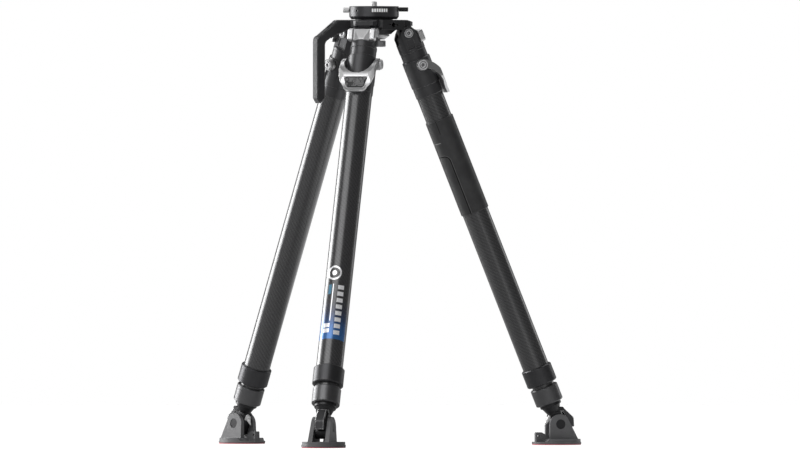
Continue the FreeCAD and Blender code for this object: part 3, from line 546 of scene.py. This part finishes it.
def solid_mesh(name, points, faces, matrix, material):
    """A piece from points in mm, with smooth shading across its shallow edges."""
    mesh = bpy.data.meshes.new(name)
    mesh.from_pydata([tuple(Vector(p) * MM) for p in points], [], faces)
    bm = bmesh.new()
    bm.from_mesh(mesh)
    bmesh.ops.recalc_face_normals(bm, faces=bm.faces)
    sharp = math.radians(35)
    for edge in bm.edges:
        edge.smooth = len(edge.link_faces) == 2 and edge.calc_face_angle(0.0) < sharp
    for face in bm.faces:
        face.smooth = True
    bm.to_mesh(mesh)
    bm.free()
    mesh.materials.append(material)
    piece = bpy.data.objects.new(name, mesh)
    bpy.context.scene.collection.objects.link(piece)
    piece.matrix_world = matrix
    return piece


def sheet_faces(rows, columns, offset=0, wrap=False):
    """The quads of a grid of points, row by row."""
    spans = columns if wrap else columns - 1
    return [(offset + r * columns + c, offset + r * columns + (c + 1) % columns,
             offset + (r + 1) * columns + (c + 1) % columns, offset + (r + 1) * columns + c)
            for r in range(rows - 1) for c in range(spans)]


def pad_relief(across, station):
    """Winding grooves between rounded ridges, like a thumb pad."""
    wander = noise.noise(Vector((across * 0.12, station * 0.12, 4.1)))
    fold = noise.noise(Vector((across * 0.19 + 1.2 * wander, station * 0.24, 9.7)))
    return PAD_RIDGE * min(1.0, abs(fold) / 0.11)


def pressed_block(stations, shape, height, back, columns=96, rows=48):
    """The points and faces of a closed block with a relief on its outer face, in leg coordinates
    in mm. shape is its half-width at the top and at the bottom, and its corner radius."""
    top, bottom = stations
    half_at_top, half_at_bottom, corner = shape
    points = []
    for r in range(rows):
        share = r / (rows - 1)
        station = top + (bottom - top) * share
        half = half_at_top + (half_at_bottom - half_at_top) * share
        inset = min(station - top, bottom - station)
        if inset < corner:
            half -= corner - math.sqrt(corner ** 2 - (corner - inset) ** 2)
        for c in range(columns):
            y = half * (2 * c / (columns - 1) - 1)
            points.append((height(y, station, min(half - abs(y), inset)), y, -station))
    count = len(points)
    points += [(back, y, z) for _, y, z in points]
    faces = sheet_faces(rows, columns) + sheet_faces(rows, columns, count)
    rim = (list(range(columns)) + [r * columns + columns - 1 for r in range(1, rows)]
           + [(rows - 1) * columns + c for c in range(columns - 2, -1, -1)]
           + [r * columns for r in range(rows - 2, 0, -1)])
    faces += [(a, b, b + count, a + count) for a, b in zip(rim, rim[1:] + rim[:1])]
    return points, faces


def lever_pad(leg):
    """The textured thumb pad set in a lever's pocket."""
    def height(y, station, inset):
        lift = PAD_LIFT * min(1.0, inset / PAD_ROLL) ** 0.5
        return PAD_RIM + lift + (pad_relief(y, station) if inset > PAD_ROLL else 0.0)

    points, faces = pressed_block(PAD_STATIONS, PAD_SHAPE, height, PAD_BACK)
    pad = solid_mesh(leg + "_lever_pad", points, faces, leg_matrix(leg), PAD_RUBBER)
    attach(pad, leg + "_lever")


def smooth_step(value, low, high):
    share = min(1.0, max(0.0, (value - low) / (high - low)))
    return share * share * (3 - 2 * share)


def circle(radius, columns):
    turns = (2 * math.pi * k / columns for k in range(columns))
    return [(radius * math.cos(turn), radius * math.sin(turn)) for turn in turns]


def faceted_tab(leg):
    """The sprung stop tab: two rounded posts, a keel between them that comes to a nose, and its
    guide pins."""
    top, bottom = TAB_STATIONS

    def height(y, station, inset):
        share = (station - top) / (bottom - top)
        past_keel = max(0.0, abs(y) - (KEEL_HALF - KEEL_NARROWING * share))
        out = KEEL_FACE + KEEL_RISE * share - KEEL_SLOPE * past_keel
        out += (TAB_POST_FACE - out) * smooth_step(abs(y), TAB_POST_FROM, TAB_POST_TO)
        return out - TAB_EDGE_DEPTH * (1 - min(1.0, inset / TAB_EDGE_WIDTH)) ** 2

    points, faces = pressed_block(TAB_STATIONS, TAB_SHAPE, height, TAB_BACK)
    columns = 20
    for side in (-1, 1):
        start = len(points)
        for x in (TAB_BACK - GUIDE_PIN_LENGTH, TAB_BACK + GUIDE_PIN_INSET):
            points += [(x, side * GUIDE_PIN_SPREAD + y, z - GUIDE_PIN_STATION)
                       for y, z in circle(GUIDE_PIN_R, columns)]
        faces += sheet_faces(2, columns, start, wrap=True)
        faces += [tuple(range(end, end + columns)) for end in (start, start + columns)]
    tab = solid_mesh(leg + "_faceted_tab", points, faces, leg_matrix(leg), SILVER)
    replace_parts(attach(tab, leg + "_stop"), leg + "_angle_stop")


def screw_radius(height, share):
    """The camera screw's radius at a height, and at a share of a turn round it."""
    if height < THREAD_START:
        return THREAD_CREST - SHANK_RELIEF
    phase = (height / THREAD_PITCH - share) % 1.0
    ridge = min(1.0, THREAD_SHARPNESS * (1.0 - abs(2 * phase - 1.0)))
    radius = THREAD_ROOT + (THREAD_CREST - THREAD_ROOT) * ridge
    past = height - (THREAD_END - SCREW_CHAMFER)
    return min(radius, THREAD_CREST - past * CHAMFER_SLOPE) if past > 0 else radius


def threaded_screw():
    """The camera screw with its 16-per-inch thread, in place of the plain shaft."""
    columns, steps = 48, 110
    thread = [THREAD_START + (THREAD_END - THREAD_START) * k / steps for k in range(steps + 1)]
    heights = [SCREW_FOOT, SHANK_TOP] + thread + [SCREW_TOP]
    points = []
    for height in heights:
        for c, (x, y) in enumerate(circle(1.0, columns)):
            radius = screw_radius(height, c / columns)
            points.append((radius * x, radius * y, height))
    faces = sheet_faces(len(heights), columns, wrap=True)
    faces += [tuple(range(end, end + columns)) for end in (0, len(points) - columns)]
    screw = solid_mesh("threaded_camera_screw", points, faces, head_matrix(), BRIGHT_STEEL)
    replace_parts(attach(screw, "tie_down"), "camera_screw")


# Studio

def aim(thing, target):
    way = target - thing.location
    thing.rotation_euler = way.to_track_quat("-Z", "Y").to_euler()


def view_axes():
    """The directions towards the camera and to its right, both level."""
    turn = math.radians(VIEW_AZIMUTH)
    toward = Vector((math.sin(turn), -math.cos(turn), 0))
    return toward, Vector((math.cos(turn), math.sin(turn), 0))


def add_camera():
    toward, right = view_axes()
    lift = math.radians(VIEW_ELEVATION)
    centre = Vector((HEAD_AXIS.x, HEAD_AXIS.y, VIEW_CENTRE_HEIGHT)) + right * VIEW_CENTRE_RIGHT
    away = toward * math.cos(lift) + Vector((0, 0, math.sin(lift)))
    camera = bpy.data.objects.new("camera", bpy.data.cameras.new("camera"))
    bpy.context.scene.collection.objects.link(camera)
    camera.location = centre + away * VIEW_DISTANCE
    aim(camera, centre)
    camera.data.lens = camera.data.sensor_width * VIEW_DISTANCE / VIEW_WIDTH
    camera.data.clip_end = 100
    bpy.context.scene.camera = camera


def softbox(name, bearing, distance, height, size, radiance, target_height):
    """A soft light at a bearing to the right of the camera, seen from the tripod."""
    toward, right = view_axes()
    turn = math.radians(bearing)
    data = bpy.data.lights.new(name, "AREA")
    data.shape = "RECTANGLE"
    data.size, data.size_y = size
    data.energy = radiance * math.pi * size[0] * size[1]
    light = bpy.data.objects.new(name, data)
    bpy.context.scene.collection.objects.link(light)
    level = toward * math.cos(turn) + right * math.sin(turn)
    light.location = level * distance + Vector((0, 0, height))
    aim(light, Vector((0, 0, target_height)))


def add_world():
    """A dim room to light and reflect, and a white one behind the tripod."""
    scene = bpy.context.scene
    scene.world = bpy.data.worlds.new("studio")
    scene.world.use_nodes = True
    tree = scene.world.node_tree
    room = tree.nodes["Background"]
    room.inputs["Strength"].default_value = ROOM_LIGHT
    white = tree.nodes.new("ShaderNodeBackground")
    for background in (room, white):
        background.inputs["Color"].default_value = (1, 1, 1, 1)
    path = tree.nodes.new("ShaderNodeLightPath")
    mix = tree.nodes.new("ShaderNodeMixShader")
    tree.links.new(path.outputs["Is Camera Ray"], mix.inputs[0])
    tree.links.new(room.outputs[0], mix.inputs[1])
    tree.links.new(white.outputs[0], mix.inputs[2])
    tree.links.new(mix.outputs[0], tree.nodes["World Output"].inputs["Surface"])


def add_floor():
    """A pale floor that goes over into the white behind it. It is part clear to the camera, so
    that legs let down past it show, and it throws more light back on the camera's right."""
    bpy.ops.mesh.primitive_circle_add(vertices=96, radius=6, fill_type="NGON")
    floor = bpy.context.object
    floor.name = "floor"
    n = Nodes("pale_floor")
    x, y, _ = n.split(n.place())
    right = view_axes()[1]
    to_right = n.plus(n.times(x, right.x), n.times(y, right.y))
    bounce = n.ramp(to_right, 0.15, 0.6, 0.06, 0.85)
    white = n.ramp(n.radius(x, y), 0.4, 1.6, 0.82, 1.0)
    seen = n.node("LightPath").outputs["Is Camera Ray"]
    glow = n.plus(n.times(seen, white), n.times(n.minus(1.0, seen), bounce))
    n.finish(Base_Color=(0.35, 0.35, 0.35, 1), Roughness=0.9, Specular_IOR_Level=0.0,
             Emission_Color=(1, 1, 1, 1), Emission_Strength=glow,
             Alpha=n.minus(1.0, n.times(seen, FLOOR_CLEARNESS)))
    floor.data.materials.append(n.material)


def add_studio():
    bpy.context.scene.view_settings.view_transform = "Standard"
    add_world()
    add_floor()
    for light in LIGHTS:
        softbox(*light)


finish_cad_nodes()
threaded_screw()
for leg in LEGS:
    lever_pad(leg)
    faceted_tab(leg)
add_camera()
add_studio()
